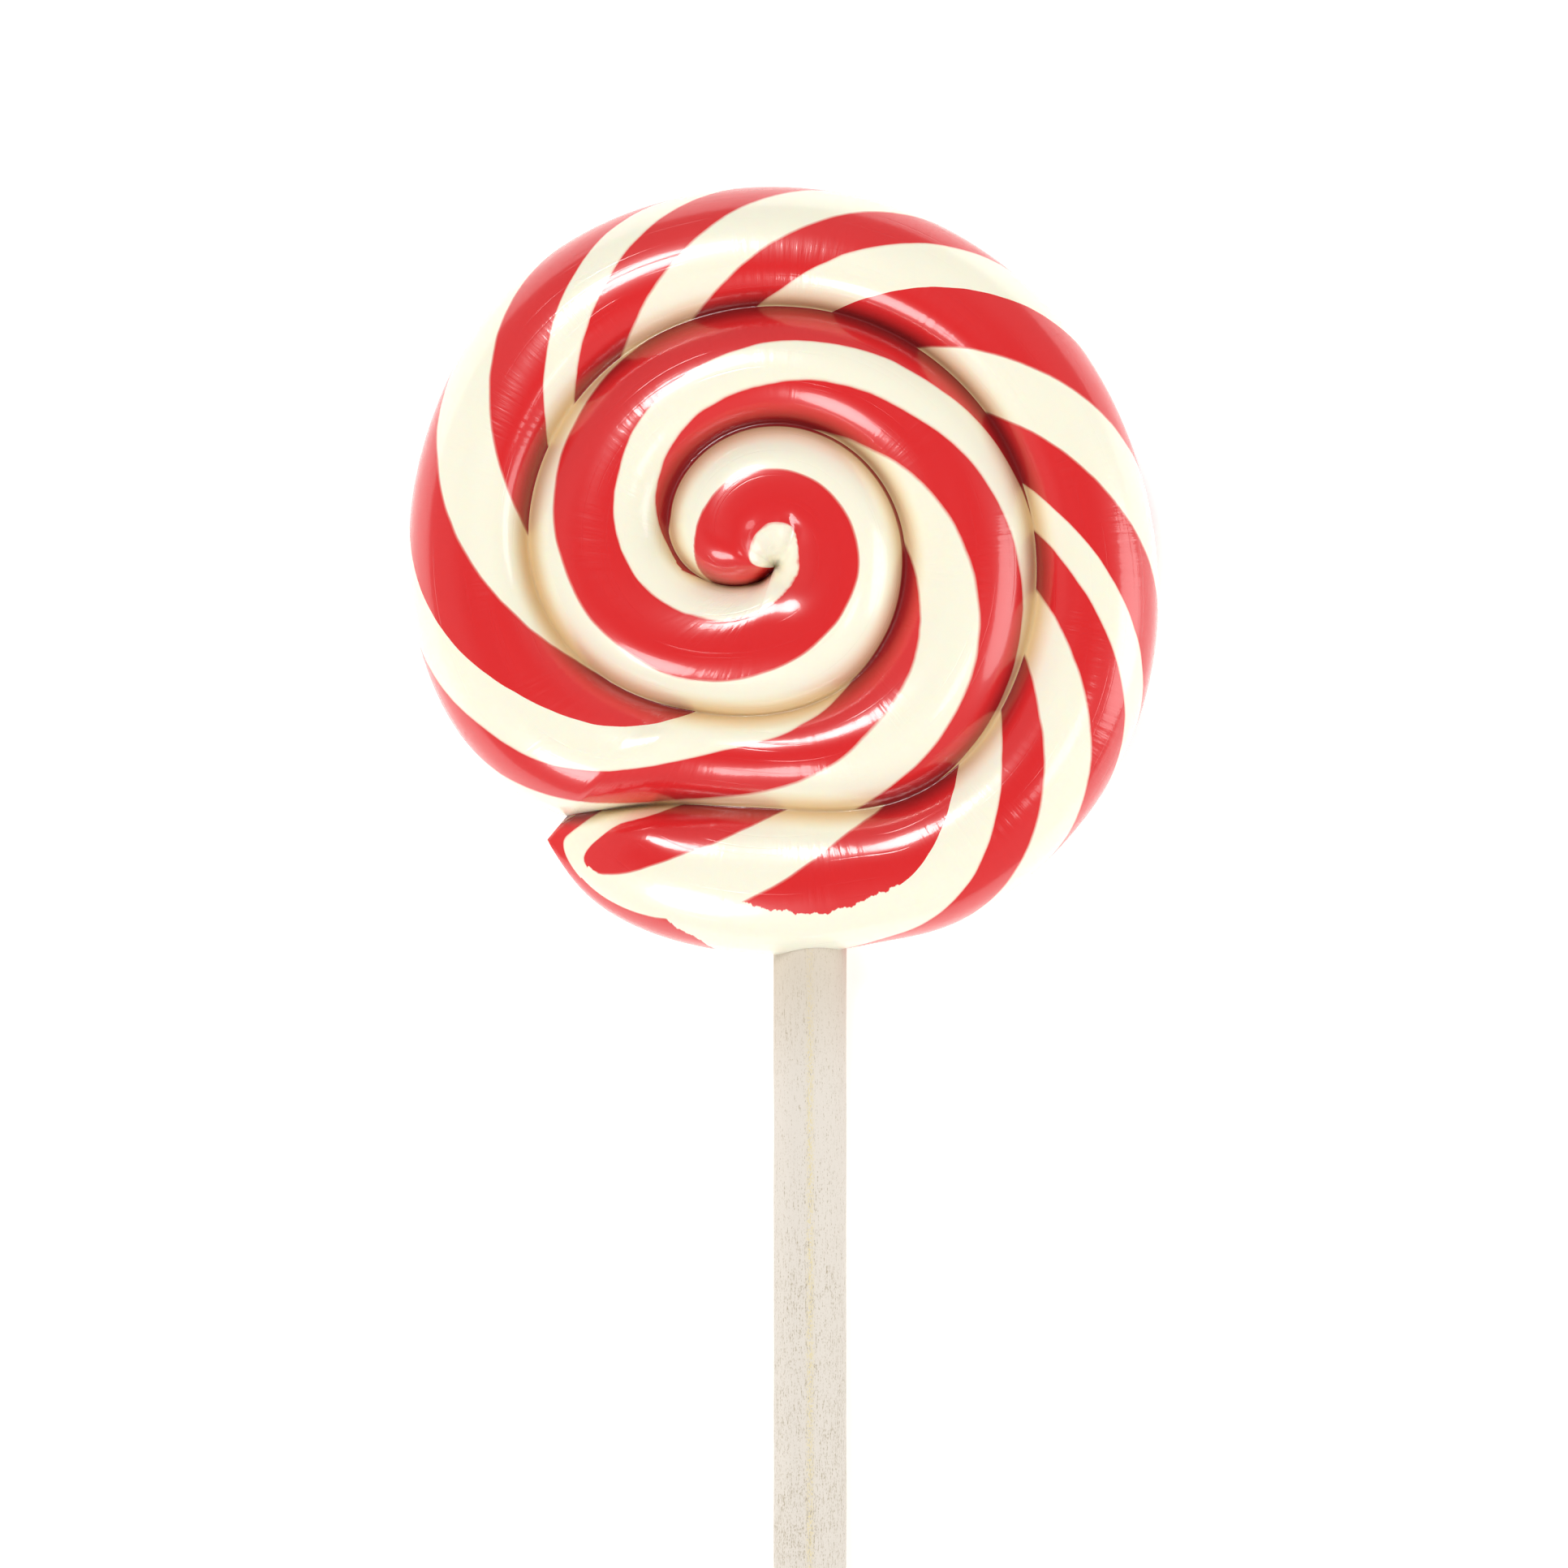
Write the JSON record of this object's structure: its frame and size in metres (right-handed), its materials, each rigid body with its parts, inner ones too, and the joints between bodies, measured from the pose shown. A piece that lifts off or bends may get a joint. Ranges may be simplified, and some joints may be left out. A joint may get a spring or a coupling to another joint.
{
  "type": "swirl lollipop",
  "caption": "Swirl lollipop: a rope of red and cream hard candy, twisted and coiled flat into a disc with a pinched tail end, on a round wooden stick.",
  "frame": {"origin": "on the surface that the lollipop lies on, under the middle of the coil, at the centre of the flat back", "axes": "+Z out of the shown face of the coil, -Y along the stick away from the candy, +X to the right of the shown face"},
  "size_m": [0.0617, 0.1817, 0.0148],
  "materials": {
    "hard_candy": "glossy boiled sugar, red and cream stripes twisting along the rope",
    "stick_wood": "pale bare wood with a fine straight grain"
  },
  "bodies": {
    "root": {"candy": "hard_candy", "stick": "stick_wood"}
  },
  "joints": []
}
